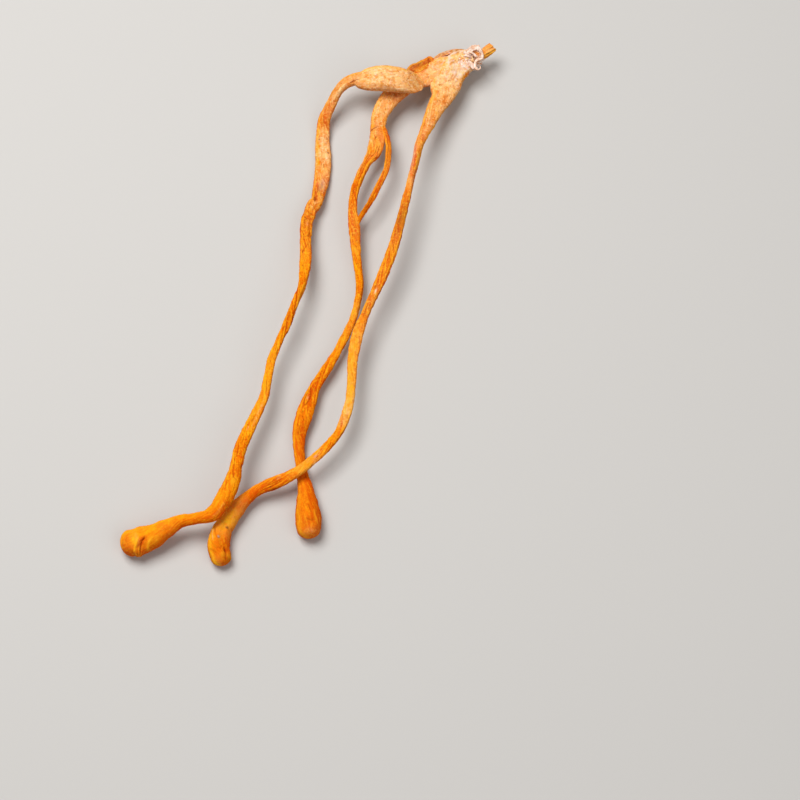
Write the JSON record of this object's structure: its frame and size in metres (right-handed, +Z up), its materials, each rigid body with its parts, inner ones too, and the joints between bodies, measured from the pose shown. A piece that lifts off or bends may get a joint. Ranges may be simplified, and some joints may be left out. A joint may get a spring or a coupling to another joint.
{
  "type": "dried cordyceps cluster",
  "caption": "Dried orange club fungus lying flat: long ribbon-like stems with swollen rounded heads, grown from one pale ragged base.",
  "frame": {"origin": "on the surface that the cluster lies on, below the middle of its box", "axes": "+X across the stems, +Y along them from the heads to the base, +Z up"},
  "size_m": [0.0558, 0.084, 0.0066],
  "materials": {
    "base": "matte, fibrous, pale with brown specks",
    "left_stem": "matte, fibrous along the stem",
    "middle_stem": "matte, fibrous along the stem",
    "front_stem": "matte, fibrous along the stem",
    "crust": "matte, crumbly residue",
    "stub": "matte, ridged and broken off"
  },
  "bodies": {
    "root": {"base": "base", "left_stem": "left_stem", "middle_stem": "middle_stem", "front_stem": "front_stem", "crust": "crust", "stub": "stub"}
  },
  "joints": []
}
